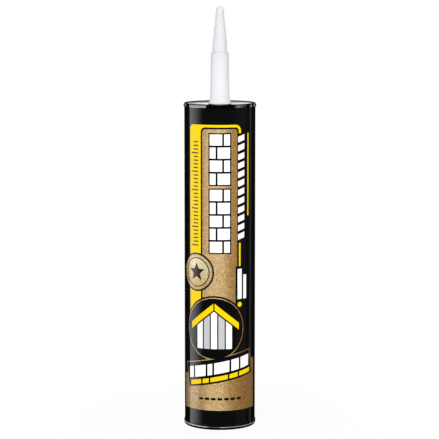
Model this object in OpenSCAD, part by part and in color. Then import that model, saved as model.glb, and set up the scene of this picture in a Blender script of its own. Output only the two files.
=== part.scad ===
// Construction adhesive cartridge: a wound board tube with a printed label, a seamed tinplate
// end, a stepped plastic nozzle and a sliding piston behind the charge of adhesive.
// The origin is the centre of the foot ring, +Z runs up the tube to the nozzle, and the front
// of the label faces -Y.

/* [Tube] */
// Bore of the tube, where the piston slides
bore_d = 46.2; // [44:0.1:48]
// Thickness of the wound board wall
board_t = 0.95; // [0.8:0.05:1.3]
// Cut length of the tube, from the foot ring to the edge under the rim
tube_h = 221.1; // [215:0.1:235]
// How far the bead around the foot swells out, on the radius
foot_swell = 0.5; // [0.4:0.05:0.7]
// Height of the bead's widest place
bead_h = 1.8; // [1.5:0.1:2]
// Radius of the bead's outline
bead_round = 3; // [2.8:0.1:4]
// Radius of the hollow curve above the bead
shoulder_round = 1; // [0.8:0.1:2]
// Rounding of the bottom edge
foot_round = 0.5; // [0.35:0.05:0.6]
// How far the mouth is opened out, on the radius
mouth_flare = 0.25; // [0.15:0.05:0.35]
// Length of the straight part of the mouth
mouth_l = 3; // [2:0.1:5]

/* [Label] */
// Thickness of the printed sheet that wraps the tube
label_t = 0.15; // [0.1:0.01:0.2]
// Width of the glued lap where the sheet closes at the back
lap_w = 6; // [4:0.5:9]
// Thickness of the ink and foil fields
ink_t = 0.1; // [0.08:0.01:0.14]

/* [Metal end] */
// Thickness of the tinplate
tin_t = 0.25; // [0.2:0.01:0.3]
// Straight height of the rim's outer leg
leg_h = 1.35; // [1:0.05:1.8]
// Height of the hook folded up behind the leg
hook_h = 0.7; // [0.4:0.05:0.9]
// Straight drop of the wall inside the rim
wall_drop = 1; // [0.6:0.05:1.4]
// Depth of the countersink groove below the tube's edge
groove_depth = 3.3; // [2.8:0.1:4.5]
// Depth of the flat panel below the tube's edge
panel_depth = 2.5; // [2.2:0.1:2.8]
// Radius inside which the centre of the panel is raised
crown_r = 12.6; // [12.2:0.1:14]
// Height of the raised centre above the flat panel
crown_h = 0.6; // [0.4:0.05:1]
// Height of the collar around the nozzle, above the raised centre
collar_h = 2; // [1.4:0.1:2.6]

/* [Nozzle] */
// Radius of the nozzle's neck, inside the collar
neck_r = 7.5; // [7:0.1:8.4]
// Length of the curved flare from the neck to the first tier
flare_l = 8.4; // [6:0.1:11]
// Radius at the bottom of each tier, from the widest to the tip
tier_base_r = [6.4, 5.05, 4.12, 3.45];
// Radius at the top of each tier
tier_top_r = [5.95, 4.5, 3.85, 2.75];
// Length of each tier
tier_l = [25.8, 9.7, 6.4, 9.6];
// Length of the bevel between two tiers
bevel_l = 0.65; // [0.4:0.05:1]
// Length of the closed, domed tip
tip_l = 4.2; // [3:0.1:6]
// Wall of the nozzle
nozzle_wall = 1.15; // [0.9:0.05:1.4]
// Radius of the flange clamped under the metal end
flange_r = 11.6; // [10.5:0.1:11.8]
// Thickness of that flange
flange_t = 1.2; // [0.8:0.05:1.6]
// Radius of the foil seal under the flange
seal_r = 9; // [7:0.1:10.5]
// Thickness of the foil seal
seal_t = 0.12; // [0.08:0.01:0.2]

/* [Piston] */
// Height of the piston's skirt
piston_h = 18; // [14:0.5:24]
// How deep the piston's rear edge sits in the tube
piston_recess = 13; // [9:0.5:20]
// Clearance of the sealing lips in the bore, on the radius
lip_gap = 0.05; // [0.02:0.01:0.09]
// How far the skirt stands back from the lips
lip_depth = 0.45; // [0.3:0.05:0.7]
// Height of each sealing lip
lip_h = 1.2; // [0.8:0.1:2]
// Wall of the skirt
skirt_t = 1.2; // [1:0.05:1.6]
// Thickness of the piston's face
face_t = 1.6; // [1.2:0.1:2.2]
// Number of ribs behind the face
rib_count = 6; // [4:1:10]
// Thickness of each rib
rib_t = 1.1; // [0.8:0.1:1.6]
// Depth of the ribs behind the face
rib_h = 5.4; // [3:0.1:7]
// Radius of the ring that the ribs run out from
hub_r = 4.5; // [3.5:0.1:7]

/* [Print] */
// Height of the gold band's lower edge
band_z = 13.4; // [10:0.1:20]
// Height of the gold band's upper edge on the left half of the label
band_left_z = 37; // [32:0.5:41]
// Height of the gold band's upper edge on the right half of the label
band_right_z = 48; // [43:0.5:53]
// Left end of the gold band, along the label from its middle
band_left = -30.8; // [-33:0.1:-29]
// Right end of the gold band, along the label from its middle
band_right = 29.6; // [28:0.1:32]
// Gap between the top of the print and the tube's edge
head_gap = 12.7; // [8:0.1:18]
// Left edge of the yellow strip, along the label from its middle
strip_left = -23.3; // [-25:0.1:-22]
// Width of the yellow strip
strip_w = 9.7; // [8:0.1:11]
// Width of the yellow line that runs over the top of the panel
line_w = 1.7; // [1.2:0.1:2.2]
// Black gap between the yellow print and the gold panel
key_w = 1.2; // [0.8:0.1:1.6]
// Right edge of the gold panel, along the label from its middle
panel_right = 12.2; // [11:0.1:13]
// Rows of white blocks in the upper and lower stack
stack_rows = [4, 5];
// Width of a stack of blocks
stack_w = 13.8; // [11:0.1:15]
// Height of one row of blocks
row_h = 8.8; // [7:0.1:9]
// Black joint between blocks
joint_w = 1.3; // [0.5:0.1:2]
// Black outline around a stack of blocks
outline_w = 0.9; // [0.5:0.1:1.2]
// Gap between the two stacks, outlines included
stack_gap = 3.4; // [2:0.1:5]
// Distance between the marks of the tape measure scale
mark_pitch = 2.5; // [2:0.1:4]
// Width of one mark
mark_w = 0.9; // [0.5:0.05:1.2]
// Height of the round gold seal's centre
medal_z = 108.3; // [104:0.1:114]
// Radius of the round gold seal
medal_r = 12; // [9:0.1:13]
// Height of the badge's centre
badge_z = 70; // [66:0.5:74]
// Radius of the badge
badge_r = 21.4; // [18:0.1:22]
// Number of boards in the wall of the house on the badge
board_count = 5; // [3:2:9]
// Height of the ribbon's centre
ribbon_z = 41.3; // [38:0.1:44]
// Rise of the ribbon, in degrees
ribbon_tilt = 11; // [4:0.5:14]
// Width of the ribbon
ribbon_h = 16.6; // [14:0.1:18]
// Height of the foot of the two short white bars
note_z = 90; // [88:0.5:94]
// Length of the longer white bar
note_l = 20.6; // [12:0.1:26]
// Height of the lowest slanting white bar
slant_z = 130.4; // [126:0.1:140]
// Distance between the slanting white bars
slant_pitch = 6; // [5:0.1:9]
// Height of the foot of the far yellow rule
far_rule_z = 146.6; // [120:0.1:160]

/* [Hidden] */
$fn = 128;

// Film of glue or play between two pieces that are seated on each other
fit_gap = 0.02;
// Clearance of the adhesive to what surrounds it
paste_gap = 0.1;

bore_r = bore_d / 2;
board_r = bore_r + board_t;
label_in_r = board_r + fit_gap;
label_r = label_in_r + label_t;
ink_in_r = label_r + fit_gap;
ink_r = label_r + ink_t;
mouth_r = bore_r + mouth_flare;
mouth_round = 0.15;
mouth_taper = 1.2;
bead_c = [board_r + foot_swell - bead_round, bead_h];
bead_reach = bead_round + shoulder_round;
foot_top = bead_h + sqrt(pow(bead_reach, 2) - pow(bead_reach - foot_swell, 2));

// The hem is the fold at the foot of the rim's outer leg
hem_r = tin_t / 2 + 0.75 * fit_gap;
leg_r = label_r + fit_gap + tin_t / 2 + 2 * hem_r;
wall_r = bore_r - fit_gap - tin_t / 2;
arch_r = (leg_r - wall_r) / 2;
arch_c = wall_r + arch_r;
rim_bottom = tube_h - leg_h - hem_r - tin_t / 2;
groove_round = 0.5;
groove_taper = 1.2;
groove_lean = 0.55;
groove_out_r = wall_r - groove_taper;
groove_in_r = groove_out_r - 2 * groove_round;
flat_out_r = groove_in_r - groove_lean;
groove_z = tube_h - groove_depth;
panel_z = tube_h - panel_depth;
crown_z = panel_z + crown_h;
crown_slope = 1.4;
collar_round = 0.5;
collar_r = neck_r + fit_gap + tin_t / 2;
collar_top = crown_z + collar_h;

flange_top = crown_z - tin_t / 2 - fit_gap;
flange_z = flange_top - flange_t;
flare_z = collar_top + 0.2;
tier_z = [for (i = [0:3]) flare_z + flare_l + i * bevel_l + sum(tier_l, i)];
nozzle_tip = tier_z[3] + tier_l[3] + tip_l;
seal_z = flange_z - fit_gap - seal_t;

lip_r = bore_r - lip_gap;
skirt_r = lip_r - lip_depth;
piston_top = piston_recess + piston_h;
face_bevel = 0.8;
rear_bevel = 0.3;

paste_r = bore_r - paste_gap;
paste_z = piston_top + paste_gap;

print_top = tube_h - head_gap;
strip_right = strip_left + strip_w;
panel_left = strip_right + key_w;
panel_top = print_top - line_w - key_w;
hook_right = panel_right + key_w + line_w;
panel_round = 2;
strip_round = 3.2;
hook_round = 2.4;
hook_l = 5.8;
mark_foot = 6;
mark_head = 10;
stack_top = panel_top - 3.4;
bond_shift = 0.16;
lower_stack_top = stack_top - stack_rows[0] * row_h + joint_w - stack_gap;
ring_w = 1.2;
keyline_w = 0.6;
medal_c = [strip_right - 3.5, medal_z];
medal_ring_r = medal_r * [0.84, 0.78];
star_r = medal_r * [0.56, 0.25];
badge_c = [-4, badge_z];
house_w = badge_r * 1.2;
wall_foot = badge_z - badge_r * 0.65;
gable_z = badge_z + badge_r * 0.55;
roof_slope = 0.8;
roof_run = badge_r * 0.8;
roof_t = 3.6;
board_gap = 0.9;
ribbon_c = [-0.6, ribbon_z];
ribbon_l = 52;
block_l = [4.2, 8.8, 3.4, 10.6, 5.8, 7.4];
tick_l = [9.4, 4.6, 12.2, 6.2, 9.8];
block_gap = 1.4;
tick_gap = 1.2;
block_row = ribbon_h * [-0.13, 0.33];
tick_row = ribbon_h * [-0.42, -0.24];
rule_s = hook_right - line_w / 2;
rule_w = 1.3;
far_rule_w = 1;
rule_gap = 2;
far_rule_s = hook_right + 6.6;
dot_r = 1.7;
dot_z = note_z - rule_gap - dot_r;
note_w = 3.4;
note_gap = 1.3;
short_note = 0.8;
slant_w = 5.2;
slant_h = 3.9;
slant_rake = 1.6;
small_count = 7;
small_pitch = 4.5;
small_gap = 1.3;
small_h = 1.7;
small_z = band_z + 7.2;

// Sum of the first n members of a list
function sum(list, n) = n == 0 ? 0 : list[n - 1] + sum(list, n - 1);

// Points on an arc about c, from angle a to angle b
function arc(c, r, a, b, n = 8) =
    [for (i = [0:n]) c + r * [cos(a + (b - a) * i / n), sin(a + (b - a) * i / n)]];

function reversed(list) = [for (i = [len(list) - 1:-1:0]) list[i]];

function unit(v) = v / norm(v);

// Mitred normal at point i of an open path
function path_normal(path, i) =
    let (
        before = i == 0 ? unit(path[1] - path[0]) : unit(path[i] - path[i - 1]),
        after = i == len(path) - 1 ? before : unit(path[i + 1] - path[i]),
        mean = unit(before + after)
    ) [-mean.y, mean.x] / (mean * before);

// Outline of a sheet of thickness t whose middle follows an open path
function sheet_outline(path, t) = concat(
    [for (i = [0:len(path) - 1]) path[i] + path_normal(path, i) * t / 2],
    reversed([for (i = [0:len(path) - 1]) path[i] - path_normal(path, i) * t / 2])
);

// Outside of the tube from the foot up, offset outwards by off
function tube_side(off, first_angle) =
    let (
        rise = bead_h - foot_round,
        foot_c = [bead_c.x + sqrt(pow(bead_round - foot_round, 2) - rise * rise), foot_round],
        low = -asin(rise / (bead_round - foot_round)),
        high = asin((foot_top - bead_h) / bead_reach)
    ) concat(
        arc(foot_c, foot_round + off, first_angle, low, 5),
        arc(bead_c, bead_round + off, low + 4, high, 8),
        arc([board_r + shoulder_round, foot_top], shoulder_round - off, 180 + high - 4, 180, 5),
        [[board_r + off, tube_h - (off > 0 ? fit_gap : 0)]]
    );

module board_tube() {
    inside = concat(
        [[bore_r, tube_h], [bore_r, mouth_l + mouth_taper], [mouth_r, mouth_l]],
        arc([mouth_r + mouth_round, mouth_round], mouth_round, 180, 270, 4)
    );
    color("#8a7a60")
        rotate_extrude()
            polygon(concat(tube_side(0, -90), inside));
}

module label_sheet() {
    lap_angle = lap_w / label_r * 180 / PI;
    color("#0d0d0e") {
        union() {
            rotate_extrude()
                polygon(concat(
                    tube_side(fit_gap + label_t, -50), reversed(tube_side(fit_gap, -50))
                ));
            rotate([0, 0, 90 - lap_angle / 2])
                rotate_extrude(angle = lap_angle)
                    translate([label_r - label_t / 2, foot_top + 0.2])
                        square([label_t * 1.5, rim_bottom - fit_gap - foot_top - 0.4]);
        }
    }
}

module metal_end() {
    path = concat(
        [[leg_r - 2 * hem_r, tube_h - leg_h + hook_h]],
        arc([leg_r - hem_r, tube_h - leg_h], hem_r, 180, 360, 6),
        arc([arch_c, tube_h], arch_r, 0, 180, 12),
        [[wall_r, tube_h - wall_drop]],
        arc([groove_out_r - groove_round, groove_z], groove_round, 0, -180, 8),
        [[flat_out_r, panel_z], [crown_r + crown_slope, panel_z], [crown_r, crown_z]],
        arc([collar_r + collar_round, crown_z + collar_round], collar_round, 270, 180, 4),
        [[collar_r, collar_top]]
    );
    color("#c9ccd0")
        rotate_extrude()
            polygon(sheet_outline(path, tin_t));
}

module rim_compound() {
    bead_r = arch_r - tin_t / 2 - fit_gap;
    color("#b8a24a")
        rotate_extrude()
            polygon(arc([arch_c, tube_h + fit_gap], bead_r - fit_gap, 0, 180, 12));
}

module nozzle() {
    tier_count = len(tier_l);
    flare = [for (i = [0:7]) [
        tier_base_r[0] + (neck_r - tier_base_r[0]) * pow(1 - i / 8, 2), flare_z + flare_l * i / 8
    ]];
    tiers = [for (i = [0:tier_count - 1]) each [
        [tier_base_r[i], tier_z[i]], [tier_top_r[i], tier_z[i] + tier_l[i]]
    ]];
    dome = [for (i = [1:7]) [
        tier_top_r[tier_count - 1] * cos(90 * i / 8), nozzle_tip - tip_l + tip_l * sin(90 * i / 8)
    ]];
    core = concat(
        [[0, flange_z], [tier_base_r[0] - nozzle_wall, flange_z]],
        [for (p = tiers) [p.x - nozzle_wall, p.y - nozzle_wall / 2]],
        [[0, nozzle_tip - tip_l + nozzle_wall]]
    );
    color("#f2f3f5")
        rotate_extrude()
            difference() {
                polygon(concat(
                    [[0, flange_z], [flange_r, flange_z], [flange_r, flange_top]],
                    [[neck_r, flange_top]], flare, tiers, dome, [[0, nozzle_tip]]
                ));
                polygon(core);
            }
}

module foil_seal() {
    color("#d8d8d8")
        translate([0, 0, seal_z])
            cylinder(r = seal_r, h = seal_t);
}

module adhesive_charge() {
    under_groove = groove_z - groove_round - tin_t / 2 - paste_gap;
    under_panel = panel_z - tin_t / 2 - paste_gap;
    under_seal = seal_z - paste_gap;
    panel_in_r = flange_r + 4 * paste_gap;
    panel_out_r = flat_out_r - 3 * paste_gap;
    color("#d9c9a3")
        rotate_extrude()
            polygon([
                [0, paste_z], [paste_r - face_bevel, paste_z], [paste_r, paste_z - face_bevel],
                [paste_r, under_groove], [panel_out_r, under_groove], [panel_out_r, under_panel],
                [panel_in_r, under_panel], [panel_in_r, under_seal], [0, under_seal]
            ]);
}

module piston() {
    z0 = piston_recess;
    z1 = piston_top;
    cup_r = skirt_r - skirt_t;
    color("#e6e2d6") {
        union() {
            rotate_extrude()
                polygon([
                    [0, z1], [lip_r - face_bevel, z1], [lip_r, z1 - face_bevel],
                    [lip_r, z1 - face_bevel - lip_h], [skirt_r, z1 - face_bevel - lip_h - lip_depth],
                    [skirt_r, z0 + lip_h + lip_depth], [lip_r, z0 + lip_h], [lip_r, z0 + rear_bevel],
                    [lip_r - rear_bevel, z0], [cup_r, z0], [cup_r, z1 - face_t], [0, z1 - face_t]
                ]);
            difference() {
                union() {
                    translate([0, 0, z1 - face_t - rib_h])
                        cylinder(r = hub_r, h = rib_h + face_t / 2);
                    for (i = [0:rib_count - 1])
                        rotate([0, 0, 360 / rib_count * (i + 0.5)])
                            translate([hub_r - 0.5, -rib_t / 2, z1 - face_t - rib_h])
                                cube([cup_r - hub_r + 0.5 + skirt_t / 2, rib_t, rib_h + face_t / 2]);
                }
                translate([0, 0, z1 - face_t - rib_h - 1])
                    cylinder(r = hub_r - rib_t, h = rib_h + 1);
            }
        }
    }
}

// A position along the label as the x of that place on the round tube
function wrap_x(s) = ink_r * sin(s / ink_r * 180 / PI);

// An outline in label coordinates, with each edge cut into steps short enough to follow the
// tube, as it looks from the front
function wrapped(points, step = 1.5) = [
    for (i = [0:len(points) - 1])
        let (
            a = points[i],
            b = points[(i + 1) % len(points)],
            n = max(1, ceil(abs(b.x - a.x) / step))
        )
        for (k = [0:n - 1]) [wrap_x((a + (b - a) * k / n).x), (a + (b - a) * k / n).y]
];

function box(s0, z0, s1, z1) = [[s0, z0], [s1, z0], [s1, z1], [s0, z1]];

// A box whose right edge is raised, as a cut across a board
function raked(s0, z0, s1, z1, rake) = [[s0, z0], [s1, z0 + rake], [s1, z1 + rake], [s0, z1]];

function ring(c, r, n = 48) = [for (i = [0:n - 1]) c + r * [cos(360 * i / n), sin(360 * i / n)]];

function star(c, outer, inner, n = 5) = [
    for (i = [0:2 * n - 1])
        c + (i % 2 == 0 ? outer : inner) * [cos(90 + 180 * i / n), sin(90 + 180 * i / n)]
];

// Points given in the ribbon's own tilted frame
function on_ribbon(points) = [
    for (p = points) ribbon_c + [
        p.x * cos(ribbon_tilt) - p.y * sin(ribbon_tilt),
        p.x * sin(ribbon_tilt) + p.y * cos(ribbon_tilt)
    ]
];

module patch(points) {
    polygon(wrapped(points));
}

// The cylinder of label between two heights that the ink lies in
module ink_band(z0, z1) {
    rotate([0, 0, -90])
        rotate_extrude()
            translate([ink_in_r, z0])
                square([ink_r - ink_in_r, z1 - z0]);
}

// Print on the front of the label, from its flat outline
module front_print() {
    intersection() {
        ink_band(foot_top, rim_bottom - 1);
        rotate([90, 0, 0])
            linear_extrude(height = ink_r + 2)
                children();
    }
}

module ribbon(grow = 0) {
    patch(on_ribbon(box(
        -ribbon_l / 2 - grow, -ribbon_h / 2 - grow, ribbon_l / 2 + grow, ribbon_h / 2 + grow
    )));
}

// The black ground of the seal, the badge and the ribbon
module motif_ground() {
    patch(ring(medal_c, medal_r + ring_w));
    patch(ring(badge_c, badge_r + ring_w));
    ribbon();
}

// The black joints and outline around one stack of blocks
module stack_ground(top, rows) {
    edge = stack_w / 2 + outline_w;
    patch(box(-edge, top - rows * row_h + joint_w - outline_w, edge, top + outline_w));
}

// White blocks laid in running bond
module stack(top, rows) {
    for (row = [0:rows - 1]) {
        z = top - (row + 1) * row_h + joint_w;
        cut = stack_w * (row % 2 == 0 ? bond_shift : -bond_shift);
        patch(box(-stack_w / 2, z, cut - joint_w / 2, z + row_h - joint_w));
        patch(box(cut + joint_w / 2, z, stack_w / 2, z + row_h - joint_w));
    }
}

// Top of the house wall under the roof, at one place along the label
function wall_top(s) = [s, gable_z - abs(s - badge_c.x) * roof_slope];

// Every second board of the house wall, from the one that first names
module wall_boards(first) {
    pitch = house_w / board_count;
    for (i = [first:2:board_count - 1]) {
        s0 = badge_c.x - house_w / 2 + i * pitch + board_gap / 2;
        s1 = s0 + pitch - board_gap;
        peak = s0 < badge_c.x && s1 > badge_c.x ? [wall_top(badge_c.x)] : [];
        patch(concat([[s0, wall_foot], [s1, wall_foot], wall_top(s1)], peak, [wall_top(s0)]));
    }
}

// One board of the roof, on the side that the sign names
module roof_board(side) {
    peak = [badge_c.x + side * board_gap / 2, gable_z + board_gap];
    foot = peak + [side * roof_run, -roof_run * roof_slope];
    thick = [0, roof_t * sqrt(1 + roof_slope * roof_slope)];
    patch([peak, foot, foot + thick, peak + thick]);
}

module print_gold() {
    panel = concat(
        arc([panel_right - panel_round, panel_top - panel_round], panel_round, 0, 90, 4),
        arc([panel_left + panel_round, panel_top - panel_round], panel_round, 90, 180, 4),
        [[panel_left, badge_c.y], [panel_right, badge_c.y]]
    );
    band = [
        [band_left, band_z], [band_right, band_z], [band_right, band_right_z],
        [ribbon_c.x, band_right_z], [ribbon_c.x, band_left_z], [band_left, band_left_z]
    ];
    color("#b98f4a") {
        front_print()
            difference() {
                patch(panel);
                motif_ground();
                stack_ground(stack_top, stack_rows[0]);
                stack_ground(lower_stack_top, stack_rows[1]);
                patch(box(
                    panel_right - key_w, dot_z - dot_r - key_w,
                    panel_right + key_w, note_z + note_l + rule_gap
                ));
            }
        front_print()
            difference() {
                patch(band);
                motif_ground();
                small_print();
            }
        front_print()
            difference() {
                patch(ring(medal_c, medal_r));
                difference() {
                    patch(ring(medal_c, medal_ring_r[0]));
                    patch(ring(medal_c, medal_ring_r[1]));
                }
                patch(star(medal_c, star_r[0], star_r[1]));
            }
        front_print()
            difference() {
                union() {
                    patch(ring(badge_c, badge_r));
                    ribbon(keyline_w);
                }
                patch(ring(badge_c, badge_r - keyline_w));
                ribbon();
            }
    }
}

// The row of small black marks on the foot band
module small_print() {
    for (i = [0:small_count - 1]) {
        s0 = (i - small_count / 2) * small_pitch + small_gap / 2;
        patch(box(s0, small_z, s0 + small_pitch - small_gap, small_z + small_h));
    }
}

// A row of leaning blocks of these lengths along the ribbon, between two heights in its frame
module ribbon_row(lengths, edges, gap) {
    count = len(lengths);
    lean = (edges[1] - edges[0]) * 0.2;
    row_l = sum(lengths, count) + gap * (count - 1) + lean;
    for (i = [0:count - 1]) {
        s0 = sum(lengths, i) + gap * i - row_l / 2;
        s1 = s0 + lengths[i];
        patch(on_ribbon([
            [s0, edges[0]], [s1, edges[0]], [s1 + lean, edges[1]], [s0 + lean, edges[1]]
        ]));
    }
}

module print_yellow() {
    hook_in = print_top - line_w;
    hook_end = print_top - hook_l;
    hook_c = [hook_right - line_w - hook_round, hook_in - hook_round];
    outline = concat(
        [[strip_left, badge_c.y], [strip_right, badge_c.y]],
        arc([strip_right + strip_round, hook_in - strip_round], strip_round, 180, 90, 4),
        arc(hook_c, hook_round, 90, 0, 4),
        [[hook_right - line_w, hook_end], [hook_right, hook_end]],
        arc(hook_c, hook_round + line_w, 0, 90, 5),
        arc([strip_left + strip_round, print_top - strip_round], strip_round, 90, 180, 5)
    );
    rule_foot = note_z + note_l + rule_gap;
    rule_head = slant_z - rule_gap;
    far_rule_head = panel_top - 3;
    color("#f5df1c")
        front_print() {
            difference() {
                patch(outline);
                motif_ground();
                tape_marks();
            }
            patch(box(rule_s - rule_w / 2, rule_foot, rule_s + rule_w / 2, rule_head));
            patch(box(
                far_rule_s - far_rule_w / 2, far_rule_z, far_rule_s + far_rule_w / 2, far_rule_head
            ));
            patch(ring([rule_s, dot_z], dot_r, 20));
            ribbon_row(tick_l, tick_row, tick_gap);
            roof_board(-1);
            roof_board(1);
        }
}

// Short and long black marks across the yellow strip, like the scale of a tape measure
module tape_marks() {
    bottom = medal_c.y + medal_r + mark_foot;
    count = floor((print_top - mark_head - bottom) / mark_pitch);
    for (i = [0:count]) {
        long = i % 5 == 0;
        z = bottom + i * mark_pitch;
        s0 = strip_left + strip_w * (long ? 0.18 : 0.36);
        s1 = strip_left + strip_w * 0.78;
        patch(box(s0, z, s1, z + mark_w));
    }
}

module print_white() {
    slant_s = rule_s - 1.4;
    note_right = rule_s + note_w / 2;
    color("#f4f4f2")
        front_print() {
            stack(stack_top, stack_rows[0]);
            stack(lower_stack_top, stack_rows[1]);
            for (z = [slant_z:slant_pitch:panel_top - slant_h - slant_rake - rule_gap])
                patch(raked(slant_s, z, slant_s + slant_w, z + slant_h, slant_rake));
            patch(box(rule_s - note_w / 2, note_z, note_right, note_z + note_l));
            patch(box(
                note_right + note_gap, note_z, note_right + note_gap + note_w * short_note,
                note_z + note_l * short_note
            ));
            ribbon_row(block_l, block_row, block_gap);
            wall_boards(0);
        }
}

module print_grey() {
    color("#a9abae")
        front_print()
            wall_boards(1);
}

board_tube();
label_sheet();
metal_end();
rim_compound();
nozzle();
foil_seal();
adhesive_charge();
piston();
print_gold();
print_yellow();
print_white();
print_grey();
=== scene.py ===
import math

import bmesh
import bpy
from mathutils import Matrix, Vector


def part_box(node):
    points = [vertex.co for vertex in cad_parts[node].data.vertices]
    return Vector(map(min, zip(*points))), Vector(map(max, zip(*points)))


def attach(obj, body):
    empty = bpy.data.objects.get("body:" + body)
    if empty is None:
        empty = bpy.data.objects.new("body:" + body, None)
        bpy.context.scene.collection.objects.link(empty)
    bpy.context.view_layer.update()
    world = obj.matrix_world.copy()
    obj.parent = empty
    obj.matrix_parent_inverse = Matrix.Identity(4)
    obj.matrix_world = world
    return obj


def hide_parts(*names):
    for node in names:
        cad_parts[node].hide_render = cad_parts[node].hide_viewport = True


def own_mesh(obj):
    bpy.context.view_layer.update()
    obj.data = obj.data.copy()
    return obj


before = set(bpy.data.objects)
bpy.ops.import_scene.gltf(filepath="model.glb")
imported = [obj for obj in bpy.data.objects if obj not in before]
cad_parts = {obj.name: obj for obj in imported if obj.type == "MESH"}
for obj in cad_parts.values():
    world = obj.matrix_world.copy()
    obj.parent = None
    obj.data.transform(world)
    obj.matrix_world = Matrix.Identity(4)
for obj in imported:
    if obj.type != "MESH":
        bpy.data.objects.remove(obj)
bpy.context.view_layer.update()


# The board tube: kraft board wound in spiral plies round a mandrel and glued, cut to length
# with a square edge, then rolled outwards at the foot into a bead. The rear mouth is opened
# a little, so that the piston goes in. Outside it is covered, so the bore and foot show.
bore_r = 23.1
board_r = 24.05
tube_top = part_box("board_tube")[1].z * 1000
foot_swell = 0.5
bead_round = 3
shoulder_round = 1
bead_c = (board_r + foot_swell - bead_round, 1.8)
foot_round = 0.5
foot_rise = bead_c[1] - foot_round
foot_run = math.sqrt((bead_round - foot_round) ** 2 - foot_rise**2)
foot_c = (bead_c[0] + foot_run, foot_round)
foot_low = -math.degrees(math.atan2(foot_rise, foot_run))
bead_reach = bead_round + shoulder_round
foot_top = bead_c[1] + math.sqrt(bead_reach**2 - (bead_reach - foot_swell) ** 2)
foot_high = math.degrees(math.asin((foot_top - bead_c[1]) / bead_reach))


def arc(centre, radius, start, end, steps):
    """Points of an arc in a profile, as (radius, height), between two angles in degrees."""
    turns = [math.radians(start + (end - start) * i / steps) for i in range(steps + 1)]
    return [(centre[0] + radius * math.cos(t), centre[1] + radius * math.sin(t)) for t in turns]


def tube_side(off, start, top):
    """Outside of the tube from the foot up, set off outwards."""
    return (
        arc(foot_c, foot_round + off, start, foot_low, 8)
        + arc(bead_c, bead_round + off, foot_low + 3, foot_high, 14)
        + arc((board_r + shoulder_round, foot_top), shoulder_round - off, 176 + foot_high, 180, 6)
        + [(board_r + off, top)]
    )


def spun(profile, closed=False, steps=192):
    """A profile in millimetres turned once round the axis."""
    bm = bmesh.new()
    verts = [bm.verts.new((r, 0, z)) for r, z in profile]
    ends = verts[1:] + (verts[:1] if closed else [])
    edges = [bm.edges.new(pair) for pair in zip(verts, ends)]
    bmesh.ops.spin(
        bm, geom=verts + edges, axis=(0, 0, 1), angle=math.tau, steps=steps, use_merge=True
    )
    return bm


def piece(name, bm, finish, body="cartridge", sharp=34):
    """Closes a mesh that was built in millimetres and rides it on a body."""
    bmesh.ops.remove_doubles(bm, verts=bm.verts, dist=1e-4)
    bmesh.ops.recalc_face_normals(bm, faces=bm.faces)
    bmesh.ops.scale(bm, vec=(0.001, 0.001, 0.001), verts=bm.verts)
    for face in bm.faces:
        face.smooth = True
    mesh = bpy.data.meshes.new(name)
    bm.to_mesh(mesh)
    bm.free()
    mesh.set_sharp_from_angle(angle=math.radians(sharp))
    mesh.materials.append(finish)
    made = bpy.data.objects.new(name, mesh)
    bpy.context.scene.collection.objects.link(made)
    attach(made, body)
    return made


def tint(code, alpha=1.0):
    """A colour as a painter writes it, turned into Blender's linear values."""
    parts = [int(code[i : i + 2], 16) / 255 for i in (1, 3, 5)]
    return (
        *[c / 12.92 if c < 0.04045 else ((c + 0.055) / 1.055) ** 2.4 for c in parts],
        alpha,
    )


class Wire:
    """One output of a node tree, on which arithmetic adds Math nodes."""

    def __init__(self, tree, socket):
        self.tree = tree
        self.socket = socket

    def node(self, kind, settings, inputs, output=0):
        made = self.tree.nodes.new(kind)
        for name, value in settings.items():
            setattr(made, name, value)
        for name, value in inputs.items():
            if isinstance(value, Wire):
                self.tree.links.new(value.socket, made.inputs[name])
            else:
                made.inputs[name].default_value = value
        return Wire(self.tree, made.outputs[output])

    def maths(self, operation, *others):
        values = dict(enumerate((self, *others)))
        return self.node("ShaderNodeMath", {"operation": operation}, values)

    def __add__(self, other):
        return self.maths("ADD", other)

    def __sub__(self, other):
        return self.maths("SUBTRACT", other)

    def __rsub__(self, other):
        return self.node("ShaderNodeMath", {"operation": "SUBTRACT"}, {0: other, 1: self})

    def __mul__(self, other):
        return self.maths("MULTIPLY", other)

    def __truediv__(self, other):
        return self.maths("DIVIDE", other)

    def __abs__(self):
        return self.maths("ABSOLUTE")

    def sine(self):
        return self.maths("SINE")

    def root(self):
        return self.maths("SQRT")

    def fraction(self):
        return self.maths("FRACT")

    def at_least(self, other):
        return self.maths("MAXIMUM", other)

    def ease(self, low, high, start=0.0, end=1.0):
        """Goes smoothly from start to end while this goes from low to high."""
        return self.node(
            "ShaderNodeMapRange",
            {"interpolation_type": "SMOOTHSTEP"},
            {0: self, 1: low, 2: high, 3: start, 4: end},
        )

    def axes(self):
        split = self.node("ShaderNodeSeparateXYZ", {}, {0: self})
        outputs = split.socket.node.outputs
        return [Wire(self.tree, outputs[i]) for i in range(3)]

    def stretched(self, x, y, z):
        return self.node("ShaderNodeMapping", {}, {0: self, 3: (x, y, z)})

    def noise(self, scale, detail=2.0, roughness=0.5):
        return self.node(
            "ShaderNodeTexNoise",
            {},
            {"Vector": self, "Scale": scale, "Detail": detail, "Roughness": roughness},
        )

    def blend(self, low, high):
        """A colour between two others, by this amount."""
        return self.node(
            "ShaderNodeMix", {"data_type": "RGBA"}, {0: self, 6: low, 7: high}, output=2
        )

    def relief(self, height):
        """The normal of a surface that this many millimetres of relief gives."""
        return self.node(
            "ShaderNodeBump", {}, {"Height": self, "Distance": height * 0.001, "Strength": 1.0}
        )


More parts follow.
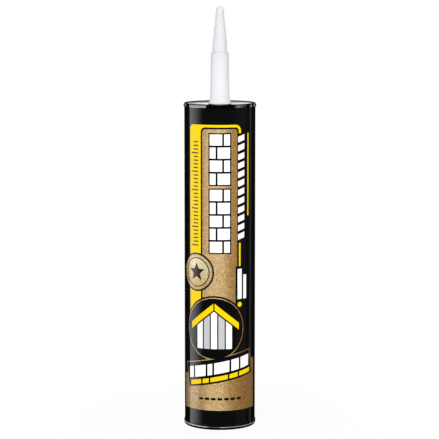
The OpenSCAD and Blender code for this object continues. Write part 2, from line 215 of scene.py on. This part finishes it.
def finish(name, varied, **constants):
    """A material. varied takes the place on the object, in millimetres, and gives what changes
    over the surface; the constants go on the shader's own sockets."""
    made = bpy.data.materials.new(name)
    made.use_nodes = True
    tree = made.node_tree
    shader = tree.nodes["Principled BSDF"]
    for socket, value in constants.items():
        shader.inputs[socket.replace("_", " ")].default_value = value
    spot = tree.nodes.new("ShaderNodeTexCoord")
    place = Wire(tree, spot.outputs["Object"]).node(
        "ShaderNodeVectorMath",
        {"operation": "SCALE"},
        {0: Wire(tree, spot.outputs["Object"]), "Scale": 1000.0},
    )
    for socket, wire in varied(place).items():
        tree.links.new(wire.socket, shader.inputs[socket])
    return made


def round_axis(place):
    """The angle round the axis from the front, in degrees, and the radius and height."""
    x, y, z = place.axes()
    angle = x.maths("ARCTAN2", 0.0 - y) * (180 / math.pi)
    radius = (x * x + y * y).root()
    return angle, radius, z


ply_pitch = 58


def kraft(place):
    angle, radius, z = round_axis(place)
    ply = (z / ply_pitch + angle / 360).fraction()
    seam = abs(ply - 0.5).ease(0.488, 0.5)
    layers = (radius * 23).sine() * 0.5 + 0.5
    on_edge = z.ease(0.1, 0.5, 1.0, 0.0)
    fibres = place.stretched(1, 1, 0.25).noise(2.2, 4.0, 0.6)
    flecks = place.noise(5.5, 2.0).ease(0.66, 0.74)
    tone = fibres.ease(0.3, 0.7).blend(tint("#75614a"), tint("#9a8263"))
    tone = (seam * 0.6 + flecks * 0.25).blend(tone, tint("#5b4934"))
    tone = (on_edge * layers * 0.5).blend(tone, tint("#c3b295"))
    return {
        "Base Color": tone,
        "Roughness": fibres.ease(0.2, 0.8, 0.72, 0.86),
        "Normal": (fibres * 0.06 - seam * 0.12 + on_edge * layers * 0.05).relief(1.0),
    }


mouth_flare = 0.25
mouth_l = 3
mouth_round = 0.15
inside = [(bore_r, tube_top), (bore_r, mouth_l + 1.2), (bore_r + mouth_flare, mouth_l)]
inside += arc((bore_r + mouth_flare + mouth_round, mouth_round), mouth_round, 180, 270, 5)
tube = piece(
    "board_tube_wound",
    spun(tube_side(0, -90, tube_top) + inside, closed=True),
    finish("wound_kraft_board", kraft),
)
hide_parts("board_tube")


# The piston: a shallow cup of polyethylene that the gun's plate pushes up the bore. Two lips
# seal on the board, six ribs and a ring stiffen the face, and the ribs are moulded in one
# piece with it, with a small mark in the middle of the face where the plastic went in.
piston_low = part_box("piston")[0].z * 1000
piston_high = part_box("piston")[1].z * 1000
lip_r = bore_r - 0.05
lip_l = 1.2
lip_slope = 0.45
lip_round = 0.3
skirt_r = lip_r - 0.45
cup_r = skirt_r - 1.2
face_t = 1.6
face_round = 0.8
face_low = piston_high - face_t
gate_r = 1.6
gate_sink = 0.25
rib_count = 6
rib_t = 1.1
rib_h = 5.4
rib_round = 0.25
rib_foot = face_low - rib_h
rooted = 0.4
hub_r = 4.5
hub_in_r = 3.4

cup = (
    [(0, piston_high), (4, piston_high - 0.05)]
    + arc((lip_r - face_round, piston_high - face_round), face_round, 90, 0, 6)
    + [(lip_r, piston_high - 1.95), (skirt_r, piston_high - 2.45)]
    + [(skirt_r, piston_low + lip_l + lip_slope), (lip_r, piston_low + lip_l)]
    + [(lip_r, piston_low + lip_round)]
    + arc((lip_r - lip_round, piston_low + lip_round), lip_round, -20, -90, 4)
    + arc((cup_r + lip_round, piston_low + lip_round), lip_round, 270, 180, 4)
    + arc((cup_r - 0.6, face_low - 0.6), 0.6, 0, 90, 5)
    + [(gate_r, face_low), (gate_r - 0.3, face_low - gate_sink), (0, face_low - gate_sink)]
)
cup_bm = spun(cup)
ring = [(hub_r, face_low + rooted)]
ring += arc((hub_r - rib_round, rib_foot + rib_round), rib_round, 0, -90, 3)
ring += arc((hub_in_r + rib_round, rib_foot + rib_round), rib_round, 270, 180, 3)
ring_bm = spun(ring + [(hub_in_r, face_low + rooted)], closed=True)
ribs_bm = bmesh.new()
rib_start = hub_r - 0.3
rib_l = cup_r + 0.3 - rib_start
blade_h = rib_h + rooted
for i in range(rib_count):
    blade = bmesh.ops.create_cube(ribs_bm, size=1)["verts"]
    bmesh.ops.scale(ribs_bm, vec=(rib_l, rib_t, blade_h), verts=blade)
    middle = (rib_start + rib_l / 2, 0, rib_foot + blade_h / 2)
    bmesh.ops.translate(ribs_bm, vec=middle, verts=blade)
    turned = Matrix.Rotation(math.tau * (i + 0.5) / rib_count, 3, "Z")
    bmesh.ops.rotate(ribs_bm, verts=blade, matrix=turned)
low_edges = [e for e in ribs_bm.edges if all(v.co.z < rib_foot + 0.1 for v in e.verts)]
bmesh.ops.bevel(
    ribs_bm,
    geom=low_edges,
    offset=rib_round,
    segments=3,
    profile=0.5,
    affect="EDGES",
    material=-1,
)
for part in (ring_bm, ribs_bm):
    loose = bpy.data.meshes.new("rib")
    part.to_mesh(loose)
    part.free()
    cup_bm.from_mesh(loose)
    bpy.data.meshes.remove(loose)


def cloudy_plastic(place):
    haze_and_painted_shading = place.noise(0.16, 3.0)
    skin = place.noise(3.2, 3.0, 0.55)
    return {
        "Base Color": haze_and_painted_shading.ease(0.3, 0.7).blend(tint("#dcd8cb"), tint("#ebe8de")),
        "Roughness": skin.ease(0.3, 0.7, 0.4, 0.52),
        "Normal": (skin * 0.012).relief(1.0),
    }


piston = piece(
    "piston_moulded",
    cup_bm,
    finish(
        "piston_polyethylene",
        cloudy_plastic,
        Subsurface_Weight=0.25,
        Subsurface_Radius=(1.0, 0.95, 0.85),
        Subsurface_Scale=0.002,
    ),
    body="plunger",
)
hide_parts("piston")


# The adhesive: a stiff tan paste that is filled against the seamed end, with the piston set
# on it. It fills the bore and dips round the countersink.
paste_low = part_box("adhesive_charge")[0].z * 1000
paste_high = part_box("adhesive_charge")[1].z * 1000
paste_r = bore_r - 0.1
paste_neck_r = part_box("foil_seal")[1].x * 1000 + 2.4
paste_shoulder = 217
paste_round = 0.8


def paste(place):
    folds = place.noise(0.22, 5.0, 0.6)
    grit = place.noise(6.0, 2.0)
    return {
        "Base Color": folds.ease(0.3, 0.7).blend(tint("#cbb98f"), tint("#e0d2ac")),
        "Roughness": grit.ease(0.3, 0.7, 0.32, 0.5),
        "Normal": (folds * 0.3 + grit * 0.03).relief(1.0),
    }


charge = piece(
    "adhesive_paste",
    spun(
        [(0, paste_low), (12, paste_low + 0.02)]
        + arc((paste_r - paste_round, paste_low + paste_round), paste_round, -90, 0, 5)
        + [(paste_r, 140), (paste_r, paste_shoulder - paste_round)]
        + arc((paste_r - 0.6, paste_shoulder - 0.6), 0.6, 0, 90, 4)
        + [(paste_neck_r, paste_shoulder), (paste_neck_r - 0.1, paste_high), (0, paste_high)]
    ),
    finish("construction_paste", paste),
)
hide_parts("adhesive_charge")
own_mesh(charge)


# The label: black laminated paper wrapped once round the tube before the foot is rolled and
# the end is seamed, and glued where it laps over itself at the back. The edges of the board's
# plies show through it as faint spiral ridges.
label_in_r = board_r + 0.02
label_t = 0.15
label_r = label_in_r + label_t
label_top = tube_top - 0.02
lap_w = 6
lap_half = math.degrees(lap_w / 2 / label_r)
lap_sink = 0.03
turn_under = -50

label_bm = spun(
    tube_side(0.02 + label_t, turn_under, label_top)
    + tube_side(0.02, turn_under, label_top)[::-1],
    closed=True,
)
lap_start = Matrix.Rotation(math.radians(90 - lap_half), 3, "Z")
lap_foot, lap_head = foot_top + 0.2, tube_top - 1.9
corners = [
    label_bm.verts.new(lap_start @ Vector((r, 0, z)))
    for r, z in (
        (label_r - lap_sink, lap_foot),
        (label_r + label_t, lap_foot),
        (label_r + label_t, lap_head),
        (label_r - lap_sink, lap_head),
    )
]
flap = label_bm.faces.new(corners)
bmesh.ops.spin(
    label_bm,
    geom=corners + flap.edges[:] + [flap],
    axis=(0, 0, 1),
    angle=math.radians(2 * lap_half),
    steps=8,
)


def sheet_relief(place):
    """Ply edges, the paper's fine waviness and small dents, in millimetres."""
    angle, radius, z = round_axis(place)
    ply = (z / ply_pitch + angle / 360).fraction()
    ridge = abs(ply - 0.5).ease(0.47, 0.5) * 0.012
    waves = place.stretched(1, 1, 0.35).noise(0.11, 2.0) * 0.02
    return ridge + waves + place.noise(1.4, 2.0) * 0.0012


def laminate(place):
    """Black gloss film with a painted highlight along the bead, brightest on the left and partly
    rubbed through to the paper, and pale paper at the cut edge.
    """
    angle, radius, z = round_axis(place)
    rub = place.stretched(1, 1, 0.3).noise(0.35, 4.0, 0.6)
    specks = place.noise(2.6, 1.0).ease(0.74, 0.78)
    worn = place.stretched(1, 1, 0.2).noise(0.16, 3.0, 0.6).ease(0.36, 0.6)
    # Painted highlight: the pale line along the bead is brightest on the left, where the softbox
    # stands, and fainter round the front, with a little random wear mixed in.
    highlight_side = angle.ease(-26, -15, 1.0, 0.15) + angle.ease(-4, 3, 0.0, 0.45)
    from_crest = abs(z - 1.85) / (highlight_side * 0.8 + 0.65)
    bead_highlight_and_wear = from_crest.ease(0.06, 0.24, 1.0, 0.0) * (highlight_side * 0.95 + worn * 0.2)
    cut_edge = z.ease(0.02, 0.1, 1.0, 0.0)
    black = (specks * 0.5).blend(tint("#0b0b0c"), tint("#17171a"))
    return {
        "Base Color": bead_highlight_and_wear.at_least(cut_edge * 0.7).blend(black, tint("#cfcfcd")),
        "Roughness": rub.ease(0.35, 0.75, 0.1, 0.15) + bead_highlight_and_wear * 0.4,
        "Normal": (sheet_relief(place) - bead_highlight_and_wear * 0.01).relief(1.0),
    }


label = piece(
    "label_wrap",
    label_bm,
    finish("black_laminate", laminate, Specular_IOR_Level=0.4),
)
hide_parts("label_sheet")


# The print: flat inks and a gold metallic ink laid on the sheet before it was wrapped, so
# each field lies on the label as a film with clean edges. Each CAD field is copied, joined up
# and cut along the tube every two degrees, so that it bends as truly as the sheet below.
ink_in_r = label_r + 0.02
ink_r = label_r + 0.1


cut_step = 2
film_tilt = 0.7


def printed(node, name, ink):
    """One field of ink, from its solid, bent as truly as the sheet and shaded as a curve."""
    bm = bmesh.new()
    bm.from_mesh(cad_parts[node].data)
    bmesh.ops.scale(bm, vec=(1000, 1000, 1000), verts=bm.verts)
    bmesh.ops.remove_doubles(bm, verts=bm.verts, dist=1e-3)
    bmesh.ops.dissolve_limit(
        bm, angle_limit=math.radians(0.3), verts=bm.verts, edges=bm.edges
    )
    for degrees in range(0, 180, cut_step):
        turn = math.radians(degrees + cut_step / 2)
        bmesh.ops.bisect_plane(
            bm,
            geom=bm.verts[:] + bm.edges[:] + bm.faces[:],
            dist=1e-5,
            plane_co=(0, 0, 0),
            plane_no=(math.cos(turn), math.sin(turn), 0),
        )
    bm.normal_update()
    for face in bm.faces:
        middle = face.calc_center_median()
        outward = face.normal.dot(Vector((middle.x, middle.y, 0)).normalized())
        if abs(outward) > film_tilt:
            for vert in face.verts:
                grow = (ink_r if outward > 0 else ink_in_r) / math.hypot(vert.co.x, vert.co.y)
                vert.co.x *= grow
                vert.co.y *= grow
    made = piece(name, bm, ink)
    normals = []
    for polygon in made.data.polygons:
        middle = Vector((polygon.center.x, polygon.center.y, 0)).normalized()
        outward = polygon.normal.dot(middle)
        for i in polygon.loop_indices:
            spot = made.data.vertices[made.data.loops[i].vertex_index].co
            radial = Vector((spot.x, spot.y, 0)).normalized()
            edge = abs(outward) <= film_tilt
            normals.append(polygon.normal.copy() if edge else radial * math.copysign(1, outward))
    made.data.normals_split_custom_set(normals)
    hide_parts(node)
    return made


medal_r = 12.4
medal_angle = math.degrees(-17.1 / ink_r)
medal_z = 108.3


def gold_ink(place):
    """Gold with a painted sheen: a bright band down the middle that falls off into painted shade
    on each side, darkest on the right, with a fine grain and a paler medallion.
    """
    angle, radius, z = round_axis(place)
    # Painted sheen and shade of the metallic ink, set by the angle round the tube.
    sheen = angle.ease(-80, -34).blend(tint("#8a6532"), tint("#a68347"))
    sheen = angle.ease(-31, -17).blend(sheen, tint("#cdab75"))
    sheen = angle.ease(0, 19).blend(sheen, tint("#9e7738"))
    sheen = angle.ease(19, 38).blend(sheen, tint("#895c1b"))
    across = (angle - medal_angle) * (ink_r * math.pi / 180)
    up = z - medal_z
    from_medal = (across * across + up * up).root()
    medal = from_medal.ease(medal_r - 0.2, medal_r + 0.2, 1.0, 0.0)
    wash = (across * 0.5 + up * 0.9).ease(-11, 11)
    pale = wash.blend(tint("#bb9c5e"), tint("#e0d2a8"))
    pale = from_medal.ease(8.5, 12.0, 0.0, 0.55).blend(pale, tint("#987630"))
    grain = place.noise(1.5, 3.0, 0.7)
    # The pale flecks of the grain are dimmed on the right along with the painted shade.
    flake = grain.ease(0.34, 0.5, 0.62, 0.0) * angle.ease(0, 34, 1.0, 0.5)
    colour = medal.blend(sheen, pale)
    colour = grain.ease(0.5, 0.66, 0.0, 0.8).blend(colour, tint("#7a551e"))
    colour = flake.blend(colour, tint("#f9e6ba"))
    return {
        "Base Color": colour,
        "Roughness": grain.ease(0.3, 0.7, 0.34, 0.44),
        "Normal": (sheet_relief(place) + grain * 0.002).relief(1.0),
    }


def flat_ink(light, dark):
    """An even ink with the slight mottle of a coated sheet."""

    def look(place):
        mottle = place.noise(1.1, 3.0)
        return {
            "Base Color": mottle.ease(0.3, 0.7).blend(tint(dark), tint(light)),
            "Roughness": place.noise(0.5, 2.0).ease(0.3, 0.7, 0.12, 0.18),
            "Normal": sheet_relief(place).relief(1.0),
        }

    return look


gold_finish = finish(
    "gold_ink",
    gold_ink,
    Metallic=0.2,
    Specular_IOR_Level=0.3,
    Coat_Weight=0.7,
    Coat_Roughness=0.1,
)
yellow_finish = finish("yellow_ink", flat_ink("#efca02", "#eac501"), Specular_IOR_Level=0.12)
white_finish = finish("white_ink", flat_ink("#f4f4f2", "#efefed"), Specular_IOR_Level=0.4)
grey_finish = finish("grey_ink", flat_ink("#bcbcc1", "#b6b6bb"), Specular_IOR_Level=0.4)
printed("print_gold", "gold_fields", gold_finish)
printed("print_yellow", "yellow_fields", yellow_finish)
printed("print_white", "white_fields", white_finish)
printed("print_grey", "grey_fields", grey_finish)


# The metal end: a tinplate disc pressed with a countersink, a raised middle and a collar for
# the nozzle, then seamed over the mouth of the tube. The rim rolls over the board's edge and
# its cut edge is folded in behind, with a ring of sealing compound in the arch.
tin_t = 0.25
hem_r = 0.14
leg_r = label_r + 0.02 + tin_t / 2 + 2 * hem_r
wall_r = bore_r - 0.02 - tin_t / 2
leg_lean = 0.12
arch_r = (leg_r - leg_lean - wall_r) / 2
leg_foot = tube_top - 1.35
hook_top = tube_top - 0.65
wall_round = 0.35
groove_z = tube_top - 3.3
groove_round = 0.5
groove_out_r = wall_r - 1.2
flat_out_r = groove_out_r - 2 * groove_round - 0.55
flat_round = 0.4
panel_z = tube_top - 2.5
crown_r = 12.6
crown_z = panel_z + 0.6
crown_round = 0.9
neck_r = 7.5
collar_r = neck_r + 0.02 + tin_t / 2
collar_round = 0.5
collar_top = crown_z + 2

end_line = (
    [(leg_r - 2 * hem_r, hook_top)]
    + arc((leg_r - hem_r, leg_foot), hem_r, 180, 360, 8)
    + [(leg_r - 0.003, leg_foot + 0.03), (leg_r - leg_lean + 0.01, tube_top - 0.1)]
    + arc((wall_r + arch_r, tube_top), arch_r, 0, 180, 20)
    + [(wall_r, tube_top - 0.8)]
    + arc((wall_r - wall_round, tube_top - 1.05), wall_round, 0, -28, 3)
    + arc((groove_out_r - groove_round, groove_z), groove_round, -14, -166, 10)
    + arc((flat_out_r - flat_round, panel_z - flat_round), flat_round, 30, 90, 4)
    + arc((crown_r + 2.2, panel_z + crown_round), crown_round, 270, 247, 3)
    + arc((crown_r - 0.3, crown_z - crown_round), crown_round, 67, 90, 3)
    + arc((collar_r + collar_round, crown_z + collar_round), collar_round, 270, 180, 6)
    + [(collar_r, collar_top)]
)


def tinplate(place):
    """Bright tin. Inside the rim it is duller, nearly non-metallic and whitened as a painted
    reflection of the white room, and a painted shadow darkens it under the fold.
    """
    angle, radius, z = round_axis(place)
    pressed = radius.ease(18, 21)
    rolled = place.stretched(0.05, 3.5, 3.5).noise(1.6, 3.0, 0.6)
    turned = (radius * 5 + place.noise(0.2) * 2).sine() * 0.5 + 0.5
    marks = pressed * turned + (1.0 - pressed) * rolled
    smudge = place.noise(0.14, 3.0)
    # Painted reflection: inside the rim the tin is made rougher, nearly non-metallic and whiter,
    # standing in for the white room that it reflects.
    dull_painted_white = radius.ease(23.2, 23.4, 1.0, 0.0) * z.ease(tube_top - 1.0, tube_top - 0.7, 1.0, 0.0)
    # Painted shadow under the fold of the seam.
    fold = radius.ease(24.2, 24.4) * z.ease(tube_top - 1.45, tube_top - 1.34, 0.9, 0.0)
    tin = smudge.ease(0.3, 0.75).blend(tint("#f0f1f3"), tint("#e2e4e7"))
    tin = fold.blend(tin, tint("#3a3a3c"))
    return {
        "Base Color": (dull_painted_white * smudge.ease(0.3, 0.75, 1.0, 0.6)).blend(tin, tint("#ffffff")),
        "Roughness": (marks * 0.05 + smudge * 0.06) + dull_painted_white * 0.2 + 0.05,
        "Metallic": 1.0 - dull_painted_white * 0.95,
        "Normal": (marks * 0.0006 + smudge * 0.02).relief(1.0),
    }


end = piece(
    "seamed_end",
    spun(end_line, steps=224),
    finish("rolled_tinplate", tinplate),
)
wall = end.modifiers.new("sheet", "SOLIDIFY")
wall.thickness = tin_t * 0.001
wall.offset = 0
wall.use_even_offset = True
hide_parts("metal_end")


# Sealing compound and foil: an amber rubber ring cast into the rim's arch, and a disc of
# aluminium foil welded under the nozzle's flange, which is pierced before the first use.
def amber_rubber(place):
    skin = place.noise(2.5, 3.0)
    return {
        "Base Color": skin.ease(0.3, 0.7).blend(tint("#a8893a"), tint("#bea557")),
        "Roughness": skin.ease(0.3, 0.7, 0.5, 0.62),
        "Normal": (skin * 0.02).relief(1.0),
    }


def crinkled_foil(place):
    dimples = place.node("ShaderNodeTexVoronoi", {}, {"Vector": place, "Scale": 0.9})
    creases = place.noise(0.5, 4.0, 0.6)
    return {
        "Roughness": creases.ease(0.3, 0.7, 0.18, 0.34),
        "Normal": (dimples * 0.05 + creases * 0.05).relief(1.0),
    }


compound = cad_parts["rim_compound"]
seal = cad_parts["foil_seal"]
for node, look in (
    (compound, finish("seaming_compound", amber_rubber)),
    (seal, finish("aluminium_foil", crinkled_foil, Metallic=1.0, Base_Color=tint("#d9dadc"))),
):
    node.data.materials.clear()
    node.data.materials.append(look)


# The nozzle: white polyethylene moulded in one piece with its flange, which is clamped under
# the tinplate. It steps down in tiers, so that the tip can be cut for a wider or a narrower
# bead, and it is closed at the tip. A fine parting line runs down each side.
nozzle_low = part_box("nozzle")[0].z * 1000
nozzle_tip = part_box("nozzle")[1].z * 1000
flange_r = 11.6
flange_round = 0.15
flange_top = nozzle_low + 1.2
flare_low = collar_top + 0.2
flare_l = 8.4
bevel_l = 0.65
nozzle_wall = 1.15
tier_base = (6.4, 5.05, 4.12, 3.45)
tier_head = (5.95, 4.5, 3.85, 2.75)
tier_l = (25.8, 9.7, 6.4, 9.6)
tier_low = [flare_low + flare_l + i * bevel_l + sum(tier_l[:i]) for i in range(4)]
tip_l = nozzle_tip - tier_low[3] - tier_l[3]

outer = [(flange_r - flange_round, nozzle_low), (flange_r, nozzle_low + flange_round)]
outer += [(flange_r, flange_top - flange_round), (flange_r - flange_round, flange_top)]
outer += [(neck_r, flange_top), (neck_r, flare_low - 0.1)]
outer += [
    (tier_base[0] + (neck_r - tier_base[0]) * (1 - i / 16) ** 2, flare_low + flare_l * i / 16)
    for i in range(16)
]
for low, head, z, run in zip(tier_base, tier_head, tier_low, tier_l):
    outer += [(low, z), (low - 0.02, z + 0.25), (head + 0.04, z + run - 0.35)]
    outer += arc((head - 0.26, z + run - 0.3), 0.3, 0, 50, 3)[1:] if head > 2.8 else []
outer += [
    (tier_head[3] * math.cos(t), nozzle_tip - tip_l + tip_l * math.sin(t))
    for t in (math.radians(90 * i / 14) for i in range(14))
]
inner = [(0, nozzle_tip - tip_l + nozzle_wall)] + [
    (r - nozzle_wall, z)
    for low, head, z0, run in zip(tier_base[::-1], tier_head[::-1], tier_low[::-1], tier_l[::-1])
    for r, z in ((head, z0 + run - 0.6), (low, z0 - 0.6))
]
inner += [(tier_base[0] - nozzle_wall, nozzle_low)]


def natural_plastic(place):
    """White plastic with painted shading, paler towards the thick neck and darker towards the
    tip, with a random haze and a parting line down each side.
    """
    x, y, z = place.axes()
    parting = abs(y).ease(0.05, 0.16, 1.0, 0.0)
    skin = place.stretched(1, 1, 0.3).noise(1.6, 3.0)
    # Painted shading: the colour is paler towards the neck and darker towards the tip, and the
    # noise adds a random haze.
    haze_and_painted_shading = place.noise(0.12, 2.0) * 0.3 + z.ease(nozzle_low + 4, nozzle_tip - 24, 0.62, 0.0)
    fine = place.noise(8.0, 2.0)
    return {
        "Base Color": haze_and_painted_shading.blend(tint("#d0d1d4"), tint("#e6e7ea")),
        "Roughness": skin.ease(0.3, 0.7, 0.34, 0.46),
        "Normal": (parting * 0.03 + skin * 0.012 + fine * 0.002).relief(1.0),
    }


nozzle = piece(
    "stepped_nozzle",
    spun(inner + outer + [(0, nozzle_tip)], steps=128),
    finish(
        "nozzle_polyethylene",
        natural_plastic,
        Subsurface_Weight=0.35,
        Subsurface_Radius=(1.0, 1.0, 1.0),
        Subsurface_Scale=0.003,
    ),
    sharp=30,
)
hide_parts("nozzle")


# The studio: a pale floor under a white room. The camera stands low in front, where the
# photograph was taken from. A tall softbox stands on the left, a dim strip on the right, and
# the side of the room that the camera stands on is dark, as it is behind a photographer.
camera_data = bpy.data.cameras.new("camera")
camera = bpy.data.objects.new("camera", camera_data)
bpy.context.scene.collection.objects.link(camera)
bpy.context.scene.camera = camera
focal_px = 1897
frame_px = 439
camera_data.sensor_width = 36
camera_data.lens = focal_px / frame_px * camera_data.sensor_width
aim = Vector((-0.00024, 0, 0.1417))
rise = math.radians(7.25)
stand_off = 1.3
back = Vector((0, -math.cos(rise), math.sin(rise)))
camera.location = aim + back * stand_off
camera.rotation_mode = "QUATERNION"
camera.rotation_quaternion = (-back).to_track_quat("-Z", "Y")
camera_data.clip_start = 0.01
camera_data.clip_end = 20


def staged(name, bm, look):
    mesh = bpy.data.meshes.new(name)
    bm.to_mesh(mesh)
    bm.free()
    mesh.materials.append(look)
    made = bpy.data.objects.new(name, mesh)
    bpy.context.scene.collection.objects.link(made)
    return made


def ray_kinds(wire):
    """Whether a ray comes from the camera, from a mirror or through glass, as 0 or 1."""
    paths = wire.node("ShaderNodeLightPath", {}, {}).socket.node.outputs
    camera_ray, glossy, through = (
        Wire(wire.tree, paths[name])
        for name in ("Is Camera Ray", "Is Glossy Ray", "Is Transmission Ray")
    )
    return camera_ray, glossy, through


world = bpy.data.worlds.new("white_room")
bpy.context.scene.world = world
world.use_nodes = True
sky = world.node_tree
sky_out = sky.nodes["World Output"]
sky.nodes.remove(sky.nodes["Background"])
direction = Wire(sky, sky.nodes.new("ShaderNodeTexCoord").outputs["Generated"])
dx, dy, dz = direction.axes()
camera_ray, glossy, through = ray_kinds(direction)
room = dy.ease(0.65, 0.98) * dz.ease(-0.02, 0.01) * dz.ease(0.02, 0.055, 1.4, 0.02)
shown = camera_ray.at_least((glossy + through) * room)
soft = (1.0 - camera_ray) * (1.0 - glossy) * (1.0 - through) * dy.ease(-0.9, 0.6, 0.58, 0.56)
pure_white = (1, 1, 1, 1)
background = direction.node(
    "ShaderNodeBackground", {}, {"Color": pure_white, "Strength": shown + soft}
)
sky.links.new(background.socket, sky_out.inputs["Surface"])

floor_look = bpy.data.materials.new("pale_floor")
floor_look.use_nodes = True
tree = floor_look.node_tree
tree.nodes.remove(tree.nodes["Principled BSDF"])
spot = Wire(tree, tree.nodes.new("ShaderNodeTexCoord").outputs["Object"])
camera_ray, glossy, through = ray_kinds(spot)
away = spot.node("ShaderNodeVectorMath", {"operation": "LENGTH"}, {0: spot}, output=1)
white = camera_ray.at_least(glossy + through) * away.ease(0.03, 0.2, 0.93, 1.0)
matt = spot.node("ShaderNodeBsdfDiffuse", {}, {"Color": (0.86, 0.86, 0.86, 1)})
glow = spot.node("ShaderNodeEmission", {}, {"Color": pure_white, "Strength": 1.0})
mixed = spot.node("ShaderNodeMixShader", {}, {0: white, 1: matt, 2: glow})
tree.links.new(mixed.socket, tree.nodes["Material Output"].inputs["Surface"])
floor_bm = bmesh.new()
bmesh.ops.create_circle(floor_bm, cap_ends=True, segments=96, radius=1.2)
floor = staged("floor", floor_bm, floor_look)
floor.visible_glossy = False


strip_r = 0.5


def glow_strip(name, angles, low, high, strength):
    """An upright softbox bent round the object, lit by strength at each of its angles, which
    are degrees round from the camera, clockwise from above."""
    strip = bmesh.new()
    turns = [math.radians(a) for a in angles]
    verts = [
        strip.verts.new((strip_r * math.sin(t), -strip_r * math.cos(t), low)) for t in turns
    ]
    edges = [strip.edges.new(pair) for pair in zip(verts, verts[1:])]
    drawn = bmesh.ops.extrude_edge_only(strip, edges=edges)["geom"]
    upper = [v for v in drawn if isinstance(v, bmesh.types.BMVert)]
    bmesh.ops.translate(strip, vec=(0, 0, high - low), verts=upper)
    look = bpy.data.materials.new(name)
    look.use_nodes = True
    tree = look.node_tree
    tree.nodes.remove(tree.nodes["Principled BSDF"])
    spot = Wire(tree, tree.nodes.new("ShaderNodeTexCoord").outputs["Object"])
    angle, radius, z = round_axis(spot)
    fade = angle.ease(*strength)
    light = spot.node("ShaderNodeEmission", {}, {"Color": pure_white, "Strength": fade})
    tree.links.new(light.socket, tree.nodes["Material Output"].inputs["Surface"])
    box = staged(name, strip, look)
    box.visible_camera = False
    box.visible_diffuse = False
    box.visible_shadow = False
    return box


glow_strip("left_softbox", range(-112, -47, 4), -0.12, 0.2, (-94, -53, 2.35, 0.0))
glow_strip("left_top", range(-112, -41, 4), 0.235, 0.36, (-60, -44, 0.42, 0.46))
glow_strip("right_strip", range(108, 121, 3), -0.12, 0.3, (107, 118, 0.05, 0.32))
glow_strip("right_softbox", range(44, 93, 6), -0.12, 0.23, (44, 62, 0.0, 0.09))
glow_strip("right_top", range(44, 93, 6), 0.262, 0.36, (44, 62, 0.0, 0.32))


lamp_target = Vector((0, 0, 0.13))
lamp_size = 0.9


def area_light(name, place, power):
    """A square lamp turned to the middle of the object, left out of its reflections."""
    lamp = bpy.data.lights.new(name, "AREA")
    lamp.shape = "SQUARE"
    lamp.size = lamp_size
    lamp.energy = power
    made = bpy.data.objects.new(name, lamp)
    bpy.context.scene.collection.objects.link(made)
    made.location = place
    made.rotation_mode = "QUATERNION"
    made.rotation_quaternion = (lamp_target - Vector(place)).to_track_quat("-Z", "Y")
    made.visible_glossy = False
    return made


area_light("key", (-0.4, -1.4, 0.9), 16)
area_light("fill", (0.9, -1.2, 0.5), 6)
area_light("back", (0.5, 1.3, 0.8), 9)

bpy.context.scene.view_settings.view_transform = "Standard"
